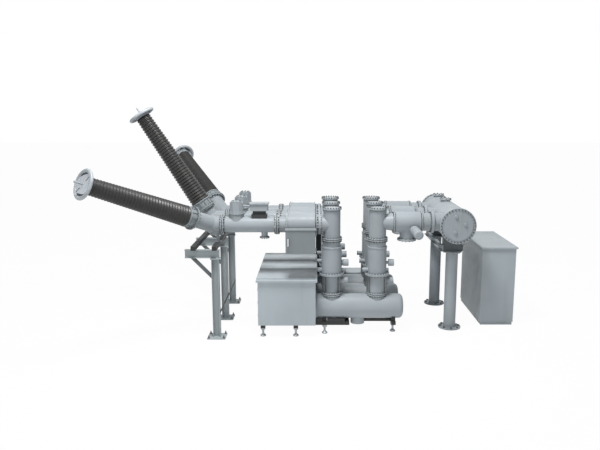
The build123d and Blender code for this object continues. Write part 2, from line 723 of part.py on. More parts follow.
def side_cabinet():
    """Open fronted sheet box with a rain roof, hinge pins and two brackets to the isolator."""
    shell = block(SIDE_CAB_X, (SIDE_CAB_FRONT_Y, SIDE_CAB_BACK_Y), SIDE_CAB_Z)
    inside_x = (SIDE_CAB_X[0] + SHEET, SIDE_CAB_X[1] - SHEET)
    inside_z = (SIDE_CAB_Z[0] + SHEET, SIDE_CAB_Z[1] - SHEET)
    shell -= block(inside_x, (SIDE_CAB_FRONT_Y - 1, SIDE_CAB_BACK_Y - SHEET), inside_z)
    roof_x = (SIDE_CAB_X[0] - 15, SIDE_CAB_X[1] + 15)
    roof_y = (HINGE_Y - DOOR_T / 2 - 15, SIDE_CAB_BACK_Y)
    shell += block(roof_x, roof_y, (SIDE_CAB_Z[1], SIDE_CAB_Z[1] + ROOF_SHEET_T))
    module = rod(ISOLATOR_R + FIT_GAP, 0, ISOLATOR_LENGTH)
    module = along_minus_x(module, ISOLATOR_X, PHASES["a"], LINE_AXIS_Z)
    bracket_z = [LINE_AXIS_Z - drop for drop in SIDE_BRACKET_DROP]
    right = SIDE_CAB_X[1] - SIDE_BRACKET_FROM_END - SIDE_BRACKET_WIDTH
    for x in (SIDE_CAB_X[0] + SIDE_BRACKET_FROM_END, right):
        arm = block((x, x + SIDE_BRACKET_WIDTH), (SIDE_CAB_BACK_Y, PHASES["a"]), bracket_z)
        shell += arm - module
    for z in HINGE_Z:
        half = KNUCKLE_LENGTH / 2 + KNUCKLE_GAP
        for low, high in ((z - half - LUG_T, z - half), (z + half, z + half + LUG_T)):
            lug_x = (SIDE_CAB_X[1], HINGE_X + KNUCKLE_R)
            shell += Pos(HINGE_X, HINGE_Y, 0) * rod(KNUCKLE_R, low, high)
            shell += block(lug_x, (HINGE_Y, SIDE_CAB_FRONT_Y + 30), (low, high))
        shell += Pos(HINGE_X, HINGE_Y, 0) * rod(HINGE_PIN_R, z - half, z + half)
    return shell


def side_cabinet_door():
    """Door leaf, hinged at its right edge, with a pull handle at its left."""
    leaf_y = around(HINGE_Y, DOOR_T / 2)
    leaf_x = (SIDE_CAB_X[0] + DOOR_EDGE, SIDE_CAB_X[1] - DOOR_EDGE)
    leaf = block(leaf_x, leaf_y, (SIDE_CAB_Z[0] + DOOR_EDGE, SIDE_CAB_Z[1] - DOOR_EDGE))
    handle_x = around(SIDE_CAB_X[0] + HANDLE_FROM_EDGE, HANDLE_WIDTH / 2)
    handle_z = around(sum(SIDE_CAB_Z) / 2, HANDLE_HEIGHT / 2)
    leaf += block(handle_x, (leaf_y[0] - HANDLE_DEPTH, leaf_y[0]), handle_z)
    for z in HINGE_Z:
        span = around(z, KNUCKLE_LENGTH / 2)
        leaf += block((leaf_x[1] - 5, HINGE_X), around(HINGE_Y, DOOR_T / 4), span)
        leaf += Pos(HINGE_X, HINGE_Y, 0) * rod(KNUCKLE_R, *span)
        leaf -= Pos(HINGE_X, HINGE_Y, 0) * rod(HINGE_PIN_R + PIN_CLEARANCE, *span)
    return leaf


# ---- busbar side run ----------------------------------------------------------------------


def bus_isolator(y):
    body = stepped(
        (BUS_RUN_FLANGE_R, FACE, FLANGE_T),
        (BUS_ISOLATOR_R, FLANGE_T, BUS_ISOLATOR_LENGTH - FLANGE_T),
        (BUS_RUN_FLANGE_R, BUS_ISOLATOR_LENGTH - FLANGE_T, BUS_ISOLATOR_LENGTH - FACE),
    )
    nozzle_low = BUS_RUN_AXIS_Z - DOWN_NOZZLE_DROP
    nozzle = stepped(
        (DOWN_NOZZLE_FLANGE_R, nozzle_low, nozzle_low + DOWN_NOZZLE_FLANGE_T),
        (DOWN_NOZZLE_R, nozzle_low + DOWN_NOZZLE_FLANGE_T, BUS_RUN_AXIS_Z),
    )
    boss = rod(SIDE_BOSS_R, -SIDE_BOSS_REACH, SIDE_BOSS_REACH)
    isolator = along_x(body, BUS_ISOLATOR_X, y, BUS_RUN_AXIS_Z)
    isolator += Pos(BUS_ISOLATOR_X + DOWN_NOZZLE_FROM_FACE, y, 0) * nozzle
    return isolator + along_minus_y(boss, SIDE_DRIVE_X, y, SIDE_DRIVE_Z)


def bus_isolator_drive():
    """Barrel shaped drive on the near isolator, and the shafts that link the three phases."""
    barrel = rod(SIDE_DRIVE_R, 0, SIDE_DRIVE_LENGTH)
    barrel = fillet(barrel.edges().group_by(Axis.Z)[-1], SIDE_DRIVE_ROUND)
    pieces = [along_minus_y(barrel, SIDE_DRIVE_X, PHASES["a"] - SIDE_BOSS_REACH, SIDE_DRIVE_Z)]
    for phase in ("b", "c"):
        link = rod(SIDE_LINK_R, 0, PHASE_SPACING - 2 * SIDE_BOSS_REACH)
        start_y = PHASES[phase] - SIDE_BOSS_REACH
        pieces.append(along_minus_y(link, SIDE_DRIVE_X, start_y, SIDE_DRIVE_Z))
    return pieces


def bus_shell(radius):
    """Plain cylinder along the whole busbar, for cutting what seats on it."""
    reach = BUS_Y[1] - BUS_Y[0]
    return along_minus_y(rod(radius, 0, reach), BUS_X, BUS_Y[1], BUS_AXIS_Z)


def busbar():
    length = BUS_Y[1] - BUS_Y[0]
    shell = stepped(
        (BUS_FLANGE_R, 0, BUS_FLANGE_T),
        (BUS_R, BUS_FLANGE_T, length - BUS_FLANGE_T),
        (BUS_FLANGE_R, length - BUS_FLANGE_T, length),
    )
    bus = along_minus_y(shell, BUS_X, BUS_Y[1], BUS_AXIS_Z)
    port_top = BUS_AXIS_Z + BUS_PORT_RISE
    for place in BUS_PORT_PLACES:
        port = stepped(
            (BUS_PORT_R, BUS_AXIS_Z, port_top - BUS_PORT_FLANGE_T),
            (BUS_PORT_FLANGE_R, port_top - BUS_PORT_FLANGE_T, port_top),
        )
        bus += Pos(BUS_X, MIDDLE_PHASE_Y + place, 0) * port
    return bus


def bus_spool(y):
    """Short tube from an isolator into the busbar's side, with a flange pair part way."""
    pair_end = BUS_SPOOL_FLANGE + 2 * FLANGE_T
    spool = stepped(
        (BUS_RUN_FLANGE_R, FACE, FLANGE_T),
        (BUS_RUN_R, FLANGE_T, BUS_SPOOL_FLANGE),
        (BUS_RUN_FLANGE_R, BUS_SPOOL_FLANGE, pair_end),
        (BUS_RUN_R, pair_end, BUS_X - BUS_FACE_X),
    )
    return along_x(spool, BUS_FACE_X, y, BUS_RUN_AXIS_Z) - bus_shell(BUS_R)


def bus_covers():
    plate = stepped(
        (BUS_FLANGE_R, 0, BUS_COVER_T),
        (BUS_R - 60, BUS_COVER_T, BUS_COVER_T + BUS_COVER_STEP),
    )
    near_cover = along_minus_y(plate, BUS_X, BUS_Y[0], BUS_AXIS_Z)
    for x, z in BUS_BOSS_PLACES:
        boss = stepped((BUS_BOSS_R, BUS_COVER_T, BUS_COVER_T + BUS_BOSS_REACH))
        near_cover += along_minus_y(boss, BUS_X + x, BUS_Y[0], BUS_AXIS_Z + z)
    far_cover = Pos(BUS_X, BUS_Y[1], BUS_AXIS_Z) * Rot(-90, 0, 0) * plate
    return [near_cover, far_cover]


def bus_column(y):
    column = stepped(
        (COLUMN_BASE_R, 0, COLUMN_BASE_T),
        (BUS_COLUMN_R, COLUMN_BASE_T, BUS_COLUMN_TOP_Z - BUS_COLUMN_HEAD_T),
        (BUS_COLUMN_HEAD_R, BUS_COLUMN_TOP_Z - BUS_COLUMN_HEAD_T, BUS_COLUMN_TOP_Z),
    )
    for turn in range(COLUMN_HOLES):
        place = Rot(0, 0, 360 * turn / COLUMN_HOLES) * Pos(COLUMN_PCD / 2, 0, COLUMN_BASE_T / 2)
        column -= place * Cylinder(COLUMN_HOLE_R, COLUMN_BASE_T + 2)
    return Pos(BUS_X, y, 0) * column


def bus_saddle(y):
    """Cradle plate that spreads from the column head up to the busbar's underside."""
    top = BUS_COLUMN_TOP_Z + BUS_SADDLE_HEIGHT
    outline = Polyline(
        (-BUS_SADDLE_FOOT_SPAN, BUS_COLUMN_TOP_Z),
        (BUS_SADDLE_FOOT_SPAN, BUS_COLUMN_TOP_Z),
        (BUS_SADDLE_TOP_SPAN, top),
        (-BUS_SADDLE_TOP_SPAN, top),
        close=True,
    )
    saddle = extrude(Plane.XZ * make_face(outline), BUS_SADDLE_WIDTH / 2, both=True)
    return Pos(BUS_X, y, 0) * saddle - bus_shell(BUS_R + FIT_GAP)


def build_bus_run():
    for phase, y in PHASES.items():
        keep(f"bus_isolator_{phase}", bus_isolator(y))
    keep("bus_isolator_drive", bus_isolator_drive())
    keep("busbar_enclosure", busbar())
    keep("busbar_spools", [bus_spool(y) for y in PHASES.values()])
    keep("busbar_end_covers", bus_covers())
    stations = {"near": MIDDLE_PHASE_Y - BUS_COLUMN_NEAR, "far": MIDDLE_PHASE_Y + BUS_COLUMN_FAR}
    for name, y in stations.items():
        keep(f"bus_column_{name}", bus_column(y))
    keep("bus_saddles", [bus_saddle(y) for y in stations.values()])


# ---- cabinets -----------------------------------------------------------------------------


def mechanism_roof():
    """Flat roof with an overhang and raised panels side by side."""
    roof_x = (MECH_X[0] - ROOF_OVERHANG, MECH_X[1] + ROOF_OVERHANG)
    roof_y = (MECH_Y[0] - ROOF_OVERHANG, MECH_Y[1] + ROOF_OVERHANG)
    roof_z = MECH_TOP_Z + ROOF_T
    roof = block(roof_x, roof_y, (MECH_TOP_Z, roof_z))
    bay = (MECH_Y[1] - MECH_Y[0]) / ROOF_PANEL_COUNT
    for panel in range(ROOF_PANEL_COUNT):
        middle = MECH_Y[0] + (panel + 0.5) * bay
        panel_y = around(middle, ROOF_PANEL_SHARE * bay / 2)
        roof += block(roof_x, panel_y, (roof_z, roof_z + ROOF_PANEL_T))
    return roof


def control_cabinet():
    x = (CONTROL_X, CONTROL_X + CONTROL_WIDTH)
    y = (MIDDLE_PHASE_Y - CONTROL_NEAR, MIDDLE_PHASE_Y + CONTROL_FAR)
    step = CONTROL_PLINTH_STEP
    body = block(x, y, (CONTROL_PLINTH, CONTROL_HEIGHT))
    return body + block((x[0] + step, x[1] - step), (y[0] + step, y[1] - step), (0, CONTROL_PLINTH))


def control_roof():
    over = CONTROL_ROOF_OVERHANG
    x = (CONTROL_X - over, CONTROL_X + CONTROL_WIDTH + over)
    y = (MIDDLE_PHASE_Y - CONTROL_NEAR - over, MIDDLE_PHASE_Y + CONTROL_FAR + over)
    return block(x, y, (CONTROL_HEIGHT, CONTROL_HEIGHT + CONTROL_ROOF_T))


def rear_cabinet():
    y_low = PHASES["c"] + TANK_R + REAR_CABINET_CLEARANCE
    y = (y_low, y_low + REAR_CABINET_DEPTH)
    body = block(REAR_CABINET_X, y, (REAR_CABINET_PLINTH, REAR_CABINET_HEIGHT))
    plinth_x = (REAR_CABINET_X[0] + REAR_CABINET_STEP, REAR_CABINET_X[1] - REAR_CABINET_STEP)
    plinth_y = (y[0] + REAR_CABINET_STEP, y[1] - REAR_CABINET_STEP)
    return body + block(plinth_x, plinth_y, (0, REAR_CABINET_PLINTH))


def build_cabinets():
    keep("mechanism_cabinet", block(MECH_X, MECH_Y, (FRAME_TOP_Z, MECH_TOP_Z)))
    keep("mechanism_cabinet_roof", mechanism_roof())
    keep("rear_cabinet", rear_cabinet())
    keep("control_cabinet", control_cabinet())
    keep("control_cabinet_roof", control_roof())
    keep("side_cabinet", side_cabinet())
    keep("side_cabinet_door", side_cabinet_door())


# ---- base frame, feet and the post at the back --------------------------------------------


def tie_places():
    """Station along X and extents along Y of each crossbeam, from the line side end."""
    cabinet_y = (MECH_Y[0] + CABINET_TIE_INSET, MECH_Y[1] - CABINET_TIE_INSET)
    tank_y = (RAIL_Y[0] - RAIL_WIDTH / 2, RAIL_Y[-1] + RAIL_WIDTH / 2)
    return (
        (CABINET_TIE_X[0], cabinet_y),
        (CABINET_TIE_X[1], cabinet_y),
        (SADDLE_X[0], tank_y),
        (RAIL_END_X, tank_y),
        (SADDLE_X[1], tank_y),
    )


def base_ties():
    """Crossbeams under the cabinet and the tanks."""
    tie_z = (FRAME_TOP_Z - FRAME_BEAM, FRAME_TOP_Z)
    return [block(around(x, TIE_WIDTH / 2), tie_y, tie_z) for x, tie_y in tie_places()]


def base_rails():
    """Long beams cut in between the crossbeams, and a thin runner under each tank's end."""
    rail_z = (FRAME_TOP_Z - FRAME_BEAM, FRAME_TOP_Z)
    stations = [x for x, tie_y in tie_places()]
    rails = []
    for low, high in zip(stations[:3], stations[1:4]):
        rail_x = (low + TIE_WIDTH / 2, high - TIE_WIDTH / 2)
        rails += [block(rail_x, around(y, RAIL_WIDTH / 2), rail_z) for y in RAIL_Y]
    runner_x = (BELLY_X, SADDLE_X[1] - TIE_WIDTH / 2)
    runner_z = (FRAME_TOP_Z - RUNNER_DEPTH, FRAME_TOP_Z)
    belly = rod(BELLY_R + FIT_GAP, 0, 2 * FRAME_TOP_Z)
    for y in PHASES.values():
        runner = block(runner_x, around(y, RUNNER_WIDTH / 2), runner_z)
        rails.append(runner - Pos(BELLY_X, y, 0) * belly)
    return rails


def foot_places():
    """Feet under the cabinet's ties, the tanks' near ends and the tanks' far ends."""
    front, rear = MECH_Y[0] + CABINET_FOOT_INSET, MECH_Y[1] - CABINET_FOOT_INSET
    cabinet_y = [front + step * (rear - front) / 3 for step in range(4)]
    tail_y = (PHASES["a"] - TAIL_FOOT_OFFSET, PHASES["b"], PHASES["c"] + TAIL_FOOT_OFFSET)
    places = [(x, y) for x in CABINET_TIE_X for y in cabinet_y]
    places += [(SADDLE_X[0], y) for y in RAIL_Y]
    return places + [(SADDLE_X[1], y) for y in tail_y]


def tank_saddles():
    saddles = []
    for y in PHASES.values():
        for x in SADDLE_X:
            saddle = block(
                around(x, SADDLE_THICKNESS / 2),
                around(y, SADDLE_HALF_SPAN),
                (FRAME_TOP_Z, FRAME_TOP_Z + SADDLE_HEIGHT),
            )
            bed = rod(TANK_R + FIT_GAP, -SADDLE_THICKNESS, SADDLE_THICKNESS)
            saddles.append(saddle - along_x(bed, x, y, TANK_AXIS_Z))
    return saddles


def levelling_foot():
    """Pad, screw and head plate in one turned piece."""
    low = FRAME_TOP_Z - FRAME_BEAM
    return turned(
        (FOOT_PAD_R, 0),
        (FOOT_PAD_R, FOOT_PAD_T),
        (FOOT_SCREW_R, FOOT_CONE_TOP),
        (FOOT_SCREW_R, low - 2 * FOOT_HEAD_T),
        (FOOT_HEAD_R, low - FOOT_HEAD_T),
        (FOOT_HEAD_R, low),
    )


def rear_post():
    """Post on the ground behind the far phase, with a cradle under that phase's branch ring."""
    y_low = PHASES["c"] + TANK_R + TANK_FLANGE_STEP + POST_CLEARANCE
    ring_low = LINE_AXIS_Z - LINE_FLANGE_R
    cradle_z = (ring_low + CRADLE_BITE - CRADLE_HEIGHT, ring_low + CRADLE_BITE)
    post = block(POST_X, (y_low, y_low + POST_DEPTH), (0, cradle_z[1]))
    cradle_x = (POST_X[0], POST_X[0] + CRADLE_WIDTH)
    cradle = block(cradle_x, (PHASES["c"] - CRADLE_HALF_SPAN, y_low), cradle_z)
    bed = along_x(rod(LINE_FLANGE_R + FIT_GAP, -CRADLE_WIDTH, 2 * CRADLE_WIDTH), 0, 0, LINE_AXIS_Z)
    return post + (cradle - Pos(0, PHASES["c"], 0) * bed)


# ---- line side support --------------------------------------------------------------------


def support_column(y):
    shaft = i_section(
        COLUMN_SECTION, COLUMN_SECTION, COLUMN_WEB, COLUMN_FLANGE,
        SUPPORT_TOP_Z - 2 * COLUMN_PLATE_T,
    )
    column = Pos(0, 0, COLUMN_PLATE_T) * shaft
    plate = Pos(0, 0, COLUMN_PLATE_T / 2) * Box(COLUMN_PLATE_X, COLUMN_PLATE_Y, COLUMN_PLATE_T)
    for x in around(0, PLATE_HOLE_X / 2):
        for hole_y in around(0, PLATE_HOLE_Y / 2):
            plate -= Pos(x, hole_y, COLUMN_PLATE_T / 2) * Cylinder(PLATE_HOLE_R, 2 * COLUMN_PLATE_T)
    head_z = SUPPORT_TOP_Z - COLUMN_PLATE_T / 2
    head = Pos(0, 0, head_z) * Box(COLUMN_HEAD_X, COLUMN_HEAD_Y, COLUMN_PLATE_T)
    return Pos(SUPPORT_X, y, 0) * (column + plate + head)


def support_bracket(y):
    """Cantilever I beam on the column head."""
    length = BRACKET_REACH + BRACKET_TAIL
    beam = i_section(BRACKET_HEIGHT, BRACKET_WIDTH, BRACKET_WEB, BRACKET_FLANGE, length)
    return along_x(beam, SUPPORT_X - BRACKET_REACH, y, SUPPORT_TOP_Z + BRACKET_HEIGHT / 2)


def knee_brace(y):
    """Brace from the column face up to the bracket's outer end."""
    column_face = SUPPORT_X - COLUMN_SECTION / 2
    outer = SUPPORT_X - BRACKET_REACH + KNEE_FROM_END
    low = SUPPORT_TOP_Z - KNEE_DROP
    outline = Polyline(
        (column_face, low),
        (column_face, low + KNEE_DEPTH),
        (outer + KNEE_DEPTH, SUPPORT_TOP_Z),
        (outer, SUPPORT_TOP_Z),
        close=True,
    )
    return Pos(0, y, 0) * extrude(Plane.XZ * make_face(outline), KNEE_HALF_T, both=True)


def support_crossbeams():
    beams = []
    beam_y = (SUPPORT_Y[0] - CROSSBEAM_END, SUPPORT_Y[2] + CROSSBEAM_END)
    for x in (ELBOW_POST_X, SUPPORT_X - BRACKET_REACH + CROSSBEAM_FROM_TIP):
        beam_x = around(x, CROSSBEAM_WIDTH / 2)
        beams.append(block(beam_x, beam_y, (BRACKET_TOP_Z, CROSSBEAM_TOP_Z)))
    return beams


def support_ties():
    """Flat rails between the columns, bolted on their outer flange faces."""
    face_x = SUPPORT_X + COLUMN_SECTION / 2
    tie_z = around(TIE_Z, TIE_HEIGHT / 2)
    near = (SUPPORT_Y[0], SUPPORT_Y[1] - TIE_GAP)
    far = (SUPPORT_Y[1] + TIE_GAP, SUPPORT_Y[2])
    return [block((face_x, face_x + TIE_T), tie_y, tie_z) for tie_y in (near, far)]


def build_support():
    keep("base_rails", base_rails())
    keep("base_ties", base_ties())
    keep("tank_saddles", tank_saddles())
    keep("levelling_feet", [Pos(x, y, 0) * levelling_foot() for x, y in foot_places()])
    keep("rear_post", rear_post())
    keep("support_columns", [support_column(y) for y in SUPPORT_Y])
    keep("support_brackets", [support_bracket(y) for y in SUPPORT_Y])
    keep("support_knee_braces", [knee_brace(y) for y in SUPPORT_Y])
    keep("support_crossbeams", support_crossbeams())
    keep("support_ties", support_ties())


build_poles()
keep("flange_spacers", flange_spacers())
build_line_run()
build_bus_run()
build_cabinets()
build_support()
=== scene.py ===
import json
from math import cos, pi, radians, sin

import bpy
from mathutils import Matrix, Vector


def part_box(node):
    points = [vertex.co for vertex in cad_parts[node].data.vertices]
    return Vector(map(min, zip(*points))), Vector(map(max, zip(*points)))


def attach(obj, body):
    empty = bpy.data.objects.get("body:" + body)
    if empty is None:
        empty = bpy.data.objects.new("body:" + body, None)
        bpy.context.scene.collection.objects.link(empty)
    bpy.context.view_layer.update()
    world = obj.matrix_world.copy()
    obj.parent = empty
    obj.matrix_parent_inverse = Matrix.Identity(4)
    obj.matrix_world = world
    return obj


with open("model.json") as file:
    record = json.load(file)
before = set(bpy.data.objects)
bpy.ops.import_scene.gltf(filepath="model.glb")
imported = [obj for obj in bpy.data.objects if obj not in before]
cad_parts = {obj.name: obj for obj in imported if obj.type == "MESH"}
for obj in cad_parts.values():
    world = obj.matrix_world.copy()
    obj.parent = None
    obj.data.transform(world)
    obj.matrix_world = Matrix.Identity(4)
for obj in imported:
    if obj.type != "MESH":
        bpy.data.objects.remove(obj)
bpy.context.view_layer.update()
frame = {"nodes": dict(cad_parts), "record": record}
nodes = frame["nodes"]

# ---- materials ----------------------------------------------------------------------------

PAINT_LIGHT = (0.34, 0.374, 0.397)
PAINT_CABINET = (0.4, 0.445, 0.472)
# Darker paint of the hung side cabinet and its door, as painted shade: its front lies in shade.
PAINT_SIDE_CABINET_SHADE = (0.235, 0.26, 0.272)
PAINT_SUPPORT = (0.37, 0.41, 0.425)
# Dark brace paint; on the bus saddles this darkness is painted shade under the busbar.
PAINT_BRACE_AND_SHADE = (0.13, 0.145, 0.15)
# Near-black frame paint, partly painted shade: it darkens the crossbeams, whose seen sides lie
# in shade.
PAINT_FRAME_AND_SHADE = (0.042, 0.044, 0.044)
PAINT_COLLAR = (0.27, 0.30, 0.315)
# Near-black paint for the door seams, and for the pieces that are painted shade.
PAINT_SEAM_AND_SHADE = (0.05, 0.053, 0.055)
RESIN = (0.045, 0.04, 0.036)
GLAZE = (0.019, 0.018, 0.0172)
ALUMINIUM = (0.42, 0.455, 0.48)
# Galvanised bolts, made darker than zinc as painted shade along the flange joints.
ZINC_AND_SHADE = (0.13, 0.14, 0.145)
ROD_ZINC = (0.2, 0.22, 0.228)
FOOT_ZINC = (0.42, 0.455, 0.475)
# Bright plate metal, lightened further as painted light, since the lamps reach the ring covers
# at a grazing angle.
PLATE_ZINC_LIT = (0.6, 0.64, 0.68)
DARK_STEEL = (0.075, 0.08, 0.08)
HANDLE = (0.75, 0.78, 0.80)

BLACK, WHITE = (0, 0, 0), (1, 1, 1)
RAIN_STAIN, GRIME_STAIN = (0.86, 0.85, 0.82), (0.9, 0.89, 0.87)
UPRIGHT = (1, 1, 0.12)  # stretches noise into upright streaks
PAINT_SPECULAR = 0.2

# Roughness, from the smoother to the rougher patches.
SATIN, DOOR_SATIN, GLAZE_SATIN = (0.36, 0.52), (0.34, 0.5), (0.38, 0.52)
FLAT, FRAME_FLAT, WEATHERED = (0.45, 0.62), (0.42, 0.6), (0.4, 0.6)
WORN_METAL = (0.3, 0.5)


def graph(block):
    """Nodes and links of a material or a world."""
    block.use_nodes = True
    return block.node_tree.nodes, block.node_tree.links


def new_material(name):
    """A new material, its shader and its links."""
    material = bpy.data.materials.new(name)
    tree, links = graph(material)
    return material, tree["Principled BSDF"], links


def noise(material, scale, detail, stretch=(1, 1, 1)):
    """Noise factor in object space, in metres."""
    tree, links = graph(material)
    place = tree.new("ShaderNodeTexCoord")
    mapping = tree.new("ShaderNodeMapping")
    mapping.inputs["Scale"].default_value = stretch
    links.new(place.outputs["Object"], mapping.inputs["Vector"])
    texture = tree.new("ShaderNodeTexNoise")
    texture.inputs["Scale"].default_value = scale
    texture.inputs["Detail"].default_value = detail
    links.new(mapping.outputs["Vector"], texture.inputs["Vector"])
    return texture.outputs["Fac"]


def ramp(material, factor, low, high, at=(0.35, 0.7)):
    """Colour that goes from one to another as the factor passes two places."""
    tree, links = graph(material)
    node = tree.new("ShaderNodeValToRGB")
    for stop, place, colour in zip(node.color_ramp.elements, at, (low, high)):
        stop.position = place
        stop.color = (*colour, 1)
    links.new(factor, node.inputs["Fac"])
    return node.outputs["Color"]


def shades(material, factor, colour, dark, light):
    """Colour that drifts between a darker and a lighter shade of itself."""
    low, high = (tuple(channel * share for channel in colour) for share in (dark, light))
    return ramp(material, factor, low, high)


def stained(material, base, factor, colour):
    """Base colour multiplied by a fixed colour where the factor is high."""
    tree, links = graph(material)
    mix = tree.new("ShaderNodeMix")
    mix.data_type = "RGBA"
    mix.blend_type = "MULTIPLY"
    mix.inputs["B"].default_value = (*colour, 1)
    links.new(factor, mix.inputs["Factor"])
    links.new(base, mix.inputs["A"])
    return mix.outputs["Result"]


def roughen(material, shader, factor, rough):
    """Let the roughness drift between two values."""
    drift = ramp(material, factor, *((value,) * 3 for value in rough))
    material.node_tree.links.new(drift, shader.inputs["Roughness"])


def emboss(material, shader, relief, strength, depth):
    """Bend the surface into fine bumps, depth metres deep."""
    tree, links = graph(material)
    bump = tree.new("ShaderNodeBump")
    bump.inputs["Strength"].default_value = strength
    bump.inputs["Distance"].default_value = depth
    links.new(relief, bump.inputs["Height"])
    links.new(bump.outputs["Normal"], shader.inputs["Normal"])


def painted(name, colour, rough=SATIN):
    """Paint: slow tone drift, rain streaks, specks of grime and fine orange peel."""
    material, shader, links = new_material(name)
    shader.inputs["Specular IOR Level"].default_value = PAINT_SPECULAR
    drift = noise(material, scale=0.9, detail=4.0)
    tone = shades(material, drift, colour, dark=0.93, light=1.05)
    streaks = noise(material, scale=3.0, detail=5.0, stretch=UPRIGHT)
    dirt = ramp(material, streaks, BLACK, WHITE, at=(0.56, 0.84))
    rained = stained(material, tone, dirt, RAIN_STAIN)
    grime = noise(material, scale=22.0, detail=6.0)
    specks = ramp(material, grime, BLACK, WHITE, at=(0.66, 0.8))
    worn = stained(material, rained, specks, GRIME_STAIN)
    links.new(worn, shader.inputs["Base Color"])
    roughen(material, shader, noise(material, scale=6.0, detail=4.0), rough)
    orange_peel = noise(material, scale=260.0, detail=2.0)
    emboss(material, shader, orange_peel, strength=0.12, depth=0.0006)
    return material


def glazed(name, colour, rough):
    """Dark weathered porcelain or resin: slight mottling, dust in patches, soft gloss."""
    material, shader, links = new_material(name)
    mottle = noise(material, scale=14.0, detail=5.0)
    tone = shades(material, mottle, colour, dark=0.8, light=1.3)
    links.new(tone, shader.inputs["Base Color"])
    roughen(material, shader, noise(material, scale=5.0, detail=4.0), rough)
    ripple = noise(material, scale=90.0, detail=2.0)
    emboss(material, shader, ripple, strength=0.05, depth=0.0005)
    return material


def bare_metal(name, colour, metallic, rough=WORN_METAL):
    """Dull machined, cast or galvanised metal with fine grain."""
    material, shader, links = new_material(name)
    shader.inputs["Metallic"].default_value = metallic
    drift = noise(material, scale=7.0, detail=4.0)
    tone = shades(material, drift, colour, dark=0.86, light=1.08)
    links.new(tone, shader.inputs["Base Color"])
    grain = noise(material, scale=120.0, detail=3.0)
    roughen(material, shader, grain, rough)
    emboss(material, shader, grain, strength=0.1, depth=0.0005)
    return material


SLOT_MATERIALS = {
    "enclosure_paint": painted("enclosure_paint", PAINT_LIGHT),
    "cabinet_paint": painted("cabinet_paint", PAINT_CABINET),
    "support_paint": painted("support_paint", PAINT_SUPPORT, rough=FLAT),
    "frame_paint": painted("frame_paint", PAINT_FRAME_AND_SHADE, rough=FRAME_FLAT),
    "insulator_glaze": glazed("insulator_glaze", GLAZE, rough=GLAZE_SATIN),
    "spacer_resin": glazed("spacer_resin", RESIN, rough=WEATHERED),
    "terminal_metal": bare_metal("terminal_metal", ALUMINIUM, metallic=0.15, rough=FLAT),
    "collar_metal": painted("collar_metal", PAINT_COLLAR, rough=WEATHERED),
}
SHADED_SHEET = painted("shaded_sheet_paint", PAINT_SIDE_CABINET_SHADE, rough=DOOR_SATIN)
BRACE_AND_SHADE = painted("brace_and_shade_paint", PAINT_BRACE_AND_SHADE, rough=FLAT)
BOLT_METAL_AND_SHADE = bare_metal("bolt_and_shade_metal", ZINC_AND_SHADE, metallic=0.6)
ROD_METAL = bare_metal("rod_metal", DARK_STEEL, metallic=0.3)
HANDLE_METAL = bare_metal("handle_metal", HANDLE, metallic=0.2)
TIE_METAL = bare_metal("tie_metal", ROD_ZINC, metallic=0.3)
LIT_PLATE_METAL = bare_metal("lit_plate_metal", PLATE_ZINC_LIT, metallic=0.1, rough=FLAT)
FOOT_METAL = bare_metal("foot_metal", FOOT_ZINC, metallic=0.2)
DARK_SEAM_AND_SHADE = painted("dark_seam_and_shade", PAINT_SEAM_AND_SHADE)

# Nodes that look different from the rest of their slot.
OWN_MATERIALS = {
    # The side cabinet's darker paint is painted shade.
    "side_cabinet": SHADED_SHEET,
    "side_cabinet_door": SHADED_SHEET,
    "support_knee_braces": BRACE_AND_SHADE,
    # The saddles' dark paint is painted shade under the busbar.
    "bus_saddles": BRACE_AND_SHADE,
    "levelling_feet": FOOT_METAL,
}

for subpart in frame["record"]["subparts"]:
    name = subpart["node"]
    material = OWN_MATERIALS.get(name, SLOT_MATERIALS[subpart["material_slot"]])
    nodes[name].data.materials.clear()
    nodes[name].data.materials.append(material)

# ---- stations of the bay, in metres -------------------------------------------------------

X, Y, Z = Vector((1, 0, 0)), Vector((0, 1, 0)), Vector((0, 0, 1))
PHASES = (-1.24, -0.19, 0.86)  # y of phases a, b and c
TOWERS = (0.38, 1.61)  # x of each phase's two towers
FLANGE_T = 0.036  # one flange of a joint
HEAD = 0.017  # radius and height of a usual bolt head

# Up a tower, from the tank to the cap.
TANK_JOINT_Z, HEAD_JOINT_Z, CAP_TOP_Z = 1.065, 2.575, 3.419
LOW_FLANGE_UNDER_Z, LOW_FLANGE_TOP_Z = 1.585, 1.647

# Along the line side run, from the tower's branch to the elbow.
LINE_Z = 2.965
BRANCH_JOINT_X, BRANCH_RING_HALF_T = 0.051, 0.033
ISOLATOR_START_X, ISOLATOR_END_X = -0.024, -0.83
TUBE_JOINTS_X = (-1.09, -2.545)
DRAIN_X, DRAIN_FLANGE_TOP_Z, DRAIN_FLANGE_UNDER_Z = -1.43, 2.625, 2.6
SWITCH_X, SWITCH_FLANGE_UNDER_Z, SWITCH_LID_Z = -2.17, 3.254, 3.6

# Along the run to the busbar.
BUS_RUN_Z = 3.03
CONE_END_X, BUS_ISOLATOR_END_X, BUS_SPOOL_JOINT_X = 2.024, 2.776, 3.051
NOZZLE_X, NOZZLE_FLANGE_TOP_Z, NOZZLE_FLANGE_UNDER_Z = 2.398, 2.585, 2.535

# The busbar with its ports and columns.
BUS_X, BUS_Z = 3.69, 2.98
BUS_ENDS_Y = (-1.605, 1.505)
BUS_COVER_T, BUS_END_FLANGE_T = 0.04, 0.045
BUS_PORTS_Y, BUS_PORT_TOP_Z = (0.11, 1.16), 3.485
BUS_COLUMNS_Y, BUS_BASE_TOP_Z, BUS_HEAD_UNDER_Z = (-0.99, 1.29), 0.04, 2.16

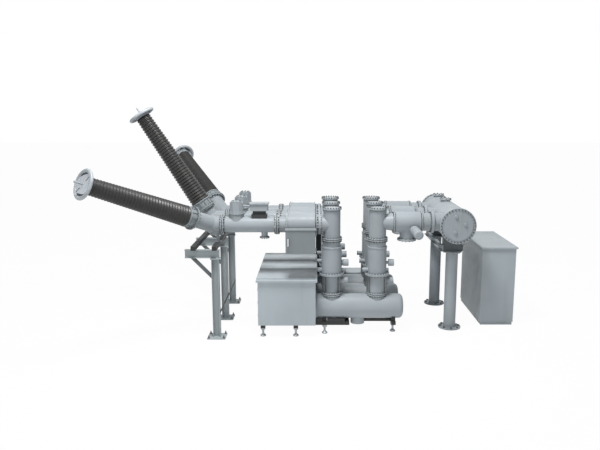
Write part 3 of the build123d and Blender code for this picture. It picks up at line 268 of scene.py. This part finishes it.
# The line side support's columns, with anchors in their base plates and bolts on their heads.
SUPPORTS_Y = (-1.79, -0.19, 1.41)
ANCHORS_X, ANCHORS_OFF_Y, BASE_PLATE_TOP_Z = (-2.89, -2.49), (-0.18, 0.18), 0.03
HEAD_BOLTS_X, HEAD_BOLTS_OFF_Y, HEAD_PLATE_TOP_Z = (-2.78, -2.60), (-0.04, 0.04), 2.184

# The line bushings: elbow centre x and y, azimuth and elevation in degrees, neck length.
BUSHINGS = (
    (-2.835, -1.24, 46, 21, 0.67),
    (-3.005, -0.19, 0, 57, 0.34),
    (-2.835, 0.86, -59, 24, 0.67),
)
COLLAR_FLANGE_T = 0.04
COLLAR_LENGTH, INSULATOR_LENGTH, RING_HEIGHT, RING_PLATE_HALF_T = 0.25, 2.79, 0.066, 0.008

# ---- small hardware -----------------------------------------------------------------------

BOX_FACES = (
    (0, 1, 3, 2),
    (4, 6, 7, 5),
    (0, 4, 5, 1),
    (2, 3, 7, 6),
    (0, 2, 6, 4),
    (1, 5, 7, 3),
)


def at(x, y, z):
    """Point from its coordinates."""
    return Vector((x, y, z))


def square_to(along):
    """Two directions square to a direction and to each other."""
    side = along.orthogonal().normalized()
    return side, along.cross(side)


def spoke(side, up, angle):
    """Direction that is turned from side towards up."""
    return side * cos(angle) + up * sin(angle)


class Pieces:
    """Collects small solids into one mesh."""

    def __init__(self):
        self.corners, self.faces = [], []

    def prism(self, foot, along, radius, length, sides=6):
        """Closed prism from its foot point, along a direction."""
        along = along.normalized()
        side, up = square_to(along)
        first = len(self.corners)
        for reach in (0, length):
            for step in range(sides):
                rim = spoke(side, up, 2 * pi * step / sides)
                self.corners.append(foot + along * reach + rim * radius)
        for step in range(sides):
            a, b = first + step, first + (step + 1) % sides
            self.faces.append((a, b, b + sides, a + sides))
        self.faces.append(tuple(range(first + sides, first + 2 * sides)))
        self.faces.append(tuple(range(first + sides - 1, first - 1, -1)))

    def box(self, low, high):
        """Upright box between two opposite corners."""
        first = len(self.corners)
        for x in (low[0], high[0]):
            for y in (low[1], high[1]):
                for z in (low[2], high[2]):
                    self.corners.append(at(x, y, z))
        for face in BOX_FACES:
            self.faces.append(tuple(first + corner for corner in face))

    def door_box(self, axis, depth, wide, tall):
        """Box by its extents on a cabinet face that looks along x or y."""
        spans = (depth, wide, tall) if axis == "x" else (wide, depth, tall)
        self.box(*zip(*spans))

    def slab(self, points, faces, lift):
        """Plate from flat faces: their raised copy, and walls on the open edges."""
        first, count = len(self.corners), len(points)
        self.corners += points + [point + lift for point in points]
        edges = [edge for face in faces for edge in zip(face, face[1:] + face[:1])]
        for face in faces:
            self.faces.append(tuple(first + count + corner for corner in face))
            self.faces.append(tuple(first + corner for corner in reversed(face)))
        for a, b in edges:
            if (b, a) not in edges:
                self.faces.append((first + a, first + b, first + count + b, first + count + a))

    def bolts(self, middle, along, circle, size=HEAD, height=HEAD):
        """Hexagon heads on washers, standing out of a flange face round its middle.

        The circle is the radius on which they stand and how many there are.
        """
        washer_spread, washer_t = 1.22, 0.003
        radius, count = circle
        along = along.normalized()
        side, up = square_to(along)
        for step in range(count):
            foot = middle + spoke(side, up, 2 * pi * step / count) * radius
            self.prism(foot, along, size * washer_spread, washer_t, sides=10)
            self.prism(foot + along * washer_t, along, size, height)

    def joint(self, middle, along, circle, half=FLANGE_T, **head):
        """Bolts with a head on both outer faces of a flange pair, half thick each way."""
        self.bolts(middle + along * half, along, circle, **head)
        self.bolts(middle - along * half, -along, circle, **head)

    def build(self, name, material, body="bay", slot=None):
        """Put the mesh in the scene, riding on its body."""
        mesh = bpy.data.meshes.new(name)
        mesh.from_pydata([tuple(corner) for corner in self.corners], [], self.faces)
        mesh.materials.append(material)
        piece = bpy.data.objects.new(name, mesh)
        bpy.context.scene.collection.objects.link(piece)
        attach(piece, body)


def bolt_towers(phase, y):
    """Bolts on the flanges of one phase's two towers, and on the branch and the cone."""
    tank, head, low_flange, cap = (0.266, 24), (0.256, 20), (0.304, 24), (0.24, 20)
    branch, cone = (0.2445, 20), (0.266, 24)
    pieces = Pieces()
    for x in TOWERS:
        pieces.bolts(at(x, y, TANK_JOINT_Z + FLANGE_T), Z, tank, size=0.012)
        pieces.bolts(at(x, y, TANK_JOINT_Z - FLANGE_T), -Z, tank, size=0.014, height=0.032)
        pieces.bolts(at(x, y, HEAD_JOINT_Z + FLANGE_T), Z, head, size=0.015)
        pieces.bolts(at(x, y, HEAD_JOINT_Z - FLANGE_T), -Z, head, size=0.018, height=0.036)
        pieces.bolts(at(x, y, LOW_FLANGE_TOP_Z), Z, low_flange)
        pieces.bolts(at(x, y, LOW_FLANGE_UNDER_Z), -Z, low_flange)
        pieces.bolts(at(x, y, CAP_TOP_Z), Z, cap, size=0.02, height=0.022)
    pieces.joint(at(BRANCH_JOINT_X, y, LINE_Z), X, branch, half=BRANCH_RING_HALF_T)
    pieces.bolts(at(ISOLATOR_START_X, y, LINE_Z), X, branch)
    pieces.bolts(at(CONE_END_X, y, BUS_RUN_Z), -X, cone, size=0.015)
    pieces.build(f"tower_bolts_{phase}", BOLT_METAL_AND_SHADE)


def bolt_line(phase, y):
    """Bolts along one phase's line side run, its drain port and its earthing switch."""
    isolator, tube = (0.27, 24), (0.2425, 20)
    drain_top, drain_under = (0.112, 8), (0.09, 8)
    switch_flange, switch_lid = (0.2035, 16), (0.11, 8)
    pieces = Pieces()
    pieces.bolts(at(ISOLATOR_END_X, y, LINE_Z), -X, isolator)
    for x in TUBE_JOINTS_X:
        pieces.joint(at(x, y, LINE_Z), X, tube, height=0.03)
    pieces.bolts(at(DRAIN_X, y, DRAIN_FLANGE_TOP_Z), Z, drain_top, size=0.013)
    pieces.bolts(at(DRAIN_X, y, DRAIN_FLANGE_UNDER_Z), -Z, drain_under, size=0.013)
    pieces.bolts(at(SWITCH_X, y, SWITCH_FLANGE_UNDER_Z), -Z, switch_flange, size=0.01)
    pieces.bolts(at(SWITCH_X, y, SWITCH_LID_Z), Z, switch_lid, size=0.013)
    pieces.build(f"line_bolts_{phase}", BOLT_METAL_AND_SHADE)


def bolt_bus_run(phase, y):
    """Bolts along one phase's run to the busbar, and on its isolator's nozzle."""
    tube, nozzle_top, nozzle_under = (0.266, 24), (0.224, 12), (0.19, 12)
    pieces = Pieces()
    pieces.bolts(at(BUS_ISOLATOR_END_X, y, BUS_RUN_Z), X, tube, size=0.015)
    pieces.joint(at(BUS_SPOOL_JOINT_X, y, BUS_RUN_Z), X, tube, size=0.015)
    pieces.bolts(at(NOZZLE_X, y, NOZZLE_FLANGE_TOP_Z), Z, nozzle_top)
    pieces.bolts(at(NOZZLE_X, y, NOZZLE_FLANGE_UNDER_Z), -Z, nozzle_under)
    pieces.build(f"bus_run_bolts_{phase}", BOLT_METAL_AND_SHADE)


def bolt_busbar():
    """Bolts on the busbar's end covers, its top ports and its columns' flanges."""
    cover, end_flange, port = (0.44, 32), (0.463, 32), (0.145, 8)
    column_base, column_head = (0.26, 8), (0.225, 8)
    pieces = Pieces()
    for y, out in zip(BUS_ENDS_Y, (-Y, Y)):
        end = at(BUS_X, y, BUS_Z)
        pieces.bolts(end + out * BUS_COVER_T, out, cover)
        pieces.bolts(end - out * BUS_END_FLANGE_T, -out, end_flange, size=0.012)
    for y in BUS_PORTS_Y:
        pieces.bolts(at(BUS_X, y, BUS_PORT_TOP_Z), Z, port)
    for y in BUS_COLUMNS_Y:
        pieces.bolts(at(BUS_X, y, BUS_BASE_TOP_Z), Z, column_base, size=0.027, height=0.03)
        pieces.bolts(at(BUS_X, y, BUS_HEAD_UNDER_Z), -Z, column_head, size=0.018)
    pieces.build("busbar_bolts", BOLT_METAL_AND_SHADE)


def bolt_support():
    """Anchor bolts in the line side support's base plates, and bolts on its columns' heads."""
    washer_r, nut_r, bolt_r = 0.034, 0.028, 0.015
    washer_t, nut_t, end_length, head_height = 0.005, 0.026, 0.04, 0.012
    pieces = Pieces()
    for y in SUPPORTS_Y:
        for x in ANCHORS_X:
            for off in ANCHORS_OFF_Y:
                foot = at(x, y + off, BASE_PLATE_TOP_Z)
                pieces.prism(foot, Z, washer_r, washer_t, sides=12)
                pieces.prism(foot + Z * washer_t, Z, nut_r, nut_t)
                pieces.prism(foot + Z * (washer_t + nut_t), Z, bolt_r, end_length, sides=10)
        for x in HEAD_BOLTS_X:
            for off in HEAD_BOLTS_OFF_Y:
                pieces.prism(at(x, y + off, HEAD_PLATE_TOP_Z), Z, bolt_r, head_height)
    pieces.build("support_bolts", BOLT_METAL_AND_SHADE)


def bushing_axis(bushing):
    """Elbow centre, direction towards the terminal, and the neck's length."""
    x, y, azimuth, elevation, neck = bushing
    azimuth, elevation = radians(azimuth), radians(elevation)
    level = cos(elevation)
    along = at(-level * cos(azimuth), -level * sin(azimuth), sin(elevation))
    return at(x, y, LINE_Z), along, neck


def bolt_bushings():
    """Bolts under each bushing's neck flange and on its collar's flange."""
    under, upper = (0.258, 20), (0.2985, 24)
    pieces = Pieces()
    for bushing in BUSHINGS:
        centre, along, neck = bushing_axis(bushing)
        low, high = centre + along * (neck - FLANGE_T), centre + along * (neck + COLLAR_FLANGE_T)
        pieces.bolts(low, -along, under, height=0.03)
        pieces.bolts(high, along, upper, size=0.0125, height=0.02)
    pieces.build("bushing_bolts", BOLT_METAL_AND_SHADE)


def tie_rods():
    """Long zinc grey clamping rods beside each tower's neck, with a nut at both ends."""
    reaches, turns = (0.243, 0.262), (-32, -12, 12, 32, 148, 168, 192, 212)
    low, length, rod_r, nut_r, nut_t = TANK_JOINT_Z + FLANGE_T, 0.484, 0.019, 0.03, 0.03
    pieces = Pieces()
    for y in PHASES:
        for x, reach in zip(TOWERS, reaches):
            for turn in turns:
                angle = radians(turn)
                foot = at(x + reach * cos(angle), y + reach * sin(angle), low)
                pieces.prism(foot, Z, rod_r, length, sides=12)
                pieces.prism(foot, Z, nut_r, nut_t)
                pieces.prism(foot + Z * (length - nut_t), Z, nut_r, nut_t)
    pieces.build("neck_rods", TIE_METAL)


def outline(pieces, axis, face, wide, tall, out):
    """Thin dark outline of a door on a cabinet face; wide and tall are its extents."""
    line, proud, sunk = 0.004, 0.0009, 0.002
    depth = sorted((face + out * proud, face - out * sunk))
    pieces.door_box(axis, depth, wide, (tall[0], tall[0] + line))
    pieces.door_box(axis, depth, wide, (tall[1] - line, tall[1]))
    pieces.door_box(axis, depth, (wide[0], wide[0] + line), tall)
    pieces.door_box(axis, depth, (wide[1] - line, wide[1]), tall)


def handle(pieces, axis, face, middle, height, out):
    """Swing handle: a back plate with a grip standing off it."""
    back_plate, grip = (0.018, 0.09, 0, 0.008), (0.011, 0.065, 0.008, 0.034)
    for half_wide, half_tall, low, high in (back_plate, grip):
        depth = sorted((face + out * low, face + out * high))
        wide = (middle - half_wide, middle + half_wide)
        pieces.door_box(axis, depth, wide, (height - half_tall, height + half_tall))


def hinges(pieces, axis, face, edge, heights, out):
    """Short upright hinge barrels along a door's edge."""
    radius, length, stand_off = 0.01, 0.08, 0.006
    depth = face + out * stand_off
    x, y = (depth, edge) if axis == "x" else (edge, depth)
    for height in heights:
        pieces.prism(at(x, y, height - length / 2), Z, radius, length, sides=10)


def doors(seams, fittings, axis, face, out, edges, tall):
    """A row of doors side by side between the given edges."""
    gap, handle_in, hinge_in, hinge_from_end = 0.006, 0.06, 0.008, 0.15
    middle = (tall[0] + tall[1]) / 2
    heights = (tall[0] + hinge_from_end, middle, tall[1] - hinge_from_end)
    for low, high in zip(edges, edges[1:]):
        outline(seams, axis, face, (low + gap, high - gap), tall, out)
        handle(fittings, axis, face, high - handle_in, middle, out)
        hinges(fittings, axis, face, low + hinge_in, heights, out)


def cabinet_doors():
    """Door outlines, handles and hinges on the three floor standing cabinets."""
    mechanism_left, mechanism_back, mechanism_tall = -1.588, 1.46, (0.42, 1.44)
    control_right, control_back, control_tall = 5.52, 1.58, (0.14, 2.12)
    rear_back, rear_tall = 1.88, (0.14, 0.94)
    seams, fittings = Pieces(), Pieces()
    rows = (
        ("x", mechanism_left, -1, (-1.72, -0.92, -0.19, 0.54, 1.34), mechanism_tall),
        ("y", mechanism_back, 1, (-1.52, -0.82, -0.12), mechanism_tall),
        ("x", control_right, 1, (-0.76, 0.0, 0.76, 1.52), control_tall),
        ("y", rear_back, 1, (0.5, 1.075, 1.65), rear_tall),
    )
    for row in rows:
        doors(seams, fittings, *row)
    outline(seams, "y", control_back, (4.65, 5.46), control_tall, 1)
    seams.build("door_seams", DARK_SEAM_AND_SHADE)
    fittings.build("door_fittings", ROD_METAL)


def door_grip():
    """Light pull grip over the hung cabinet's door handle, on two short feet."""
    from_edge, stand_off, grip_r, grip_length = 0.064, 0.018, 0.019, 0.19
    foot_off, foot_r, foot_t = 0.055, 0.013, 0.012
    low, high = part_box("side_cabinet_door")
    x, front, middle = low[0] + from_edge, low[1], (low[2] + high[2]) / 2
    grip = Pieces()
    for up in (-foot_off, foot_off):
        grip.prism(at(x, front, middle + up), -Y, foot_r, foot_t, sides=12)
    start = at(x, front - stand_off, middle - grip_length / 2)
    grip.prism(start, Z, grip_r, grip_length, sides=16)
    grip.build("door_grip", HANDLE_METAL, "side_door")


def drive_shade_skirt():
    """Dark sleeve round the drive box's legs and base on the near tube; its dark is painted
    shade under the box.
    """
    sleeve = Pieces()
    sleeve.box((-1.7315, -1.3315, 3.2505), (-1.3885, -1.1485, 3.3445))
    sleeve.box((-1.7665, -1.3665, 3.13), (-1.3535, -1.1135, 3.2515))
    sleeve.build("drive_shade_skirt", DARK_SEAM_AND_SHADE, slot="frame_paint")


def tank_shade_fill():
    """Dark box on the front rail, under the near tank, in two runs: painted shade in the gap
    under the tank.
    """
    shade_boxes = Pieces()
    for left, right in ((-0.5, 0.128), (0.252, 0.738)):
        shade_boxes.box((left, -1.52, 0.3295), (right, -1.44, 0.425))
    shade_boxes.build("tank_shade_fill", DARK_SEAM_AND_SHADE, slot="frame_paint")


def bus_channels():
    """Steel channels along both sides of the busbar's saddles, across its two columns."""
    near, far, under, top, sheet = -1.12, 1.49, 2.19, 2.36, 0.014
    left = ((3.411, 3.425), (3.355, 3.425))
    right = ((3.955, 3.969), (3.955, 4.025))
    channels = Pieces()
    for web, lip in (left, right):
        channels.box((web[0], near, under + sheet), (web[1], far, top - sheet))
        for low in (under, top - sheet):
            channels.box((lip[0], near, low), (lip[1], far, low + sheet))
    channels.build("bus_channels", SLOT_MATERIALS["support_paint"], slot="support_paint")


def post_shade_channels():
    """Channels on the rear post's sides, above the mechanism cabinet's roof, in near-black as
    painted shade of the gap there.
    """
    channels = Pieces()
    for left, right in ((-0.05, -0.01), (0.115, 0.155)):
        channels.box((left, 1.265, 1.588), (right, 1.325, 2.62))
    channels.build("post_shade_channels", DARK_SEAM_AND_SHADE, slot="frame_paint")


def ring_plates():
    """Cover plates on the grading rings, each with a crescent recess above and below whose floor
    is painted shade.
    """
    steps, windows, window_steps = 48, (9, 31), 10
    waist_r, tip_rise, window_r, plate_r, plate_t = 0.225, 0.045, 0.285, 0.296, 0.006
    well_rs, well_t, well_count = (0.215, 0.29), 0.0015, window_steps + 3
    rib_turns, rib_start, rib_length, rib_r = (43, 223), 0.13, 0.163, 0.009
    reach = COLLAR_LENGTH + INSULATOR_LENGTH + RING_HEIGHT + RING_PLATE_HALF_T
    open_steps = [first + step for first in windows for step in range(window_steps)]
    covers, crescent_shades, ribs = Pieces(), Pieces(), Pieces()
    for bushing in BUSHINGS:
        centre, along, neck = bushing_axis(bushing)
        face = centre + along * (neck + reach)
        up = (Z - along * along.z).normalized()
        side = up.cross(along)

        def rim(step, radius):
            """Point on the plate's face."""
            return face + spoke(side, up, 2 * pi * step / steps) * radius

        def waist(step):
            """Radius of the windows' inner edge, which rises to their tips."""
            off = min(abs(step - first - window_steps / 2) for first in windows)
            return waist_r + tip_rise * min(2 * off / window_steps, 1) ** 2

        points = [rim(step, waist(step)) for step in range(steps)]
        points += [rim(step, radius) for radius in (window_r, plate_r) for step in range(steps)]
        faces = [tuple(range(steps))]
        for row in range(2):
            for step in range(steps):
                if row == 1 or step not in open_steps:
                    after = (step + 1) % steps
                    low, high = row * steps, (row + 1) * steps
                    faces.append((low + step, high + step, high + after, low + after))
        covers.slab(points, faces, along * plate_t)
        for first in windows:
            well_steps = range(first - 1, first - 1 + well_count)
            points = [rim(step, radius) for radius in well_rs for step in well_steps]
            faces = [
                (step, well_count + step, well_count + step + 1, step + 1)
                for step in range(well_count - 1)
            ]
            crescent_shades.slab(points, faces, along * well_t)
        for turn in rib_turns:
            out = spoke(side, up, radians(turn))
            ribs.prism(face + out * rib_start + along * plate_t, out, rib_r, rib_length)
    # The covers' light metal is partly painted light.
    covers.build("ring_covers", LIT_PLATE_METAL, slot="terminal_metal")
    # The dark crescents are painted shade.
    crescent_shades.build("ring_crescent_shades", DARK_SEAM_AND_SHADE)
    ribs.build("ring_ribs", ROD_METAL)


def gauge_dials():
    """Round dials in bezels on the gauge ends, without any scale on them."""
    gauge_reach, gauge_z = 0.39, 1.715
    bezel_r, bezel_t, dial_r, dial_t = 0.066, 0.012, 0.052, 0.002
    bezels, dials = Pieces(), Pieces()
    for y in PHASES:
        for x in TOWERS:
            end = at(x - gauge_reach, y, gauge_z)
            bezels.prism(end, -X, bezel_r, bezel_t, sides=28)
            dials.prism(end - X * bezel_t, -X, dial_r, dial_t, sides=28)
    bezels.build("gauge_bezels", ROD_METAL)
    dials.build("gauge_faces", HANDLE_METAL)


for phase, y in zip("abc", PHASES):
    bolt_towers(phase, y)
    bolt_line(phase, y)
    bolt_bus_run(phase, y)
bolt_busbar()
bolt_support()
bolt_bushings()
tie_rods()
cabinet_doors()
door_grip()
drive_shade_skirt()
tank_shade_fill()
bus_channels()
post_shade_channels()
ring_plates()
gauge_dials()

# ---- floor, light and camera --------------------------------------------------------------

FLOOR_REACH, FLOOR_GREY, FLOOR_ROUGHNESS = 120, (0.9, 0.9, 0.9, 1), 0.9
FLOOR_WHITENESS = 0.97  # what is left of 1 keeps a faint shadow
PURE_WHITE = (1, 1, 1, 1)
SKY, SKY_STRENGTH = (0.93, 0.97, 1, 1), 0.36
CAMERA_PLACE, CAMERA_DIP = (-0.06, -17.79, 5.85), 9.95
CAMERA_SENSOR, CAMERA_LENS, CAMERA_SHIFT_X, CAMERA_END = 36, 37.52, -0.0258, 500


def seen_directly(block):
    """Output that is 1 on rays the viewer sees straight, mirrored or through something."""
    tree, links = graph(block)
    path = tree.new("ShaderNodeLightPath")
    total = path.outputs["Is Camera Ray"]
    for kind in ("Is Glossy Ray", "Is Transmission Ray"):
        either = tree.new("ShaderNodeMath")
        either.operation = "MAXIMUM"
        links.new(total, either.inputs[0])
        links.new(path.outputs[kind], either.inputs[1])
        total = either.outputs["Value"]
    return total


def white_where_seen(block, kind, factor, lit, output):
    """Mix the lit shader with a white one of a kind, and send that to the block's output."""
    tree, links = graph(block)
    white = tree.new(kind)
    white.inputs["Color"].default_value = PURE_WHITE
    white.inputs["Strength"].default_value = 1.0
    mix = tree.new("ShaderNodeMixShader")
    links.new(factor, mix.inputs["Fac"])
    links.new(lit.outputs[0], mix.inputs[1])
    links.new(white.outputs[0], mix.inputs[2])
    links.new(mix.outputs["Shader"], tree[output].inputs["Surface"])


def build_floor():
    """Pale floor that is nearly white where it is seen, with a faint shadow."""
    reach = FLOOR_REACH
    corners = [(-reach, -reach, 0), (reach, -reach, 0), (reach, reach, 0), (-reach, reach, 0)]
    mesh = bpy.data.meshes.new("floor")
    mesh.from_pydata(corners, [], [(0, 1, 2, 3)])
    floor = bpy.data.objects.new("floor", mesh)
    bpy.context.scene.collection.objects.link(floor)
    material, shader, links = new_material("floor")
    shader.inputs["Base Color"].default_value = FLOOR_GREY
    shader.inputs["Roughness"].default_value = FLOOR_ROUGHNESS
    share = material.node_tree.nodes.new("ShaderNodeMath")
    share.operation = "MULTIPLY"
    share.inputs[1].default_value = FLOOR_WHITENESS
    links.new(seen_directly(material), share.inputs[0])
    factor = share.outputs["Value"]
    white_where_seen(material, "ShaderNodeEmission", factor, shader, "Material Output")
    mesh.materials.append(material)


def build_world():
    """Soft bluish light all round, from a background that is seen as white."""
    world = bpy.data.worlds.new("studio")
    bpy.context.scene.world = world
    lit = graph(world)[0]["Background"]
    lit.inputs["Color"].default_value = SKY
    lit.inputs["Strength"].default_value = SKY_STRENGTH
    factor = seen_directly(world)
    white_where_seen(world, "ShaderNodeBackground", factor, lit, "World Output")


def area_lamp(name, place, target, size, power):
    """Square lamp that looks at its target."""
    lamp = bpy.data.lights.new(name, "AREA")
    lamp.shape = "SQUARE"
    lamp.size = size
    lamp.energy = power
    obj = bpy.data.objects.new(name, lamp)
    obj.location = place
    obj.rotation_euler = (Vector(target) - Vector(place)).to_track_quat("-Z", "Y").to_euler()
    bpy.context.scene.collection.objects.link(obj)


def build_camera():
    """Camera of the photo, fitted to the CAD: it looks along +Y, dipped by some degrees."""
    data = bpy.data.cameras.new("camera")
    data.sensor_width = CAMERA_SENSOR
    data.lens = CAMERA_LENS
    data.shift_x = CAMERA_SHIFT_X
    data.clip_end = CAMERA_END
    camera = bpy.data.objects.new("camera", data)
    camera.location = CAMERA_PLACE
    camera.rotation_euler = (radians(90 - CAMERA_DIP), 0, 0)
    bpy.context.scene.collection.objects.link(camera)
    bpy.context.scene.camera = camera


build_floor()
build_world()
area_lamp("overhead", place=(-0.9, -4.6, 13.5), target=(0, -0.3, 0.8), size=2.8, power=1500)
area_lamp("front", place=(-13, -16, 9), target=(0.5, 0, 1.5), size=9, power=680)
build_camera()
bpy.context.scene.view_settings.view_transform = "Standard"
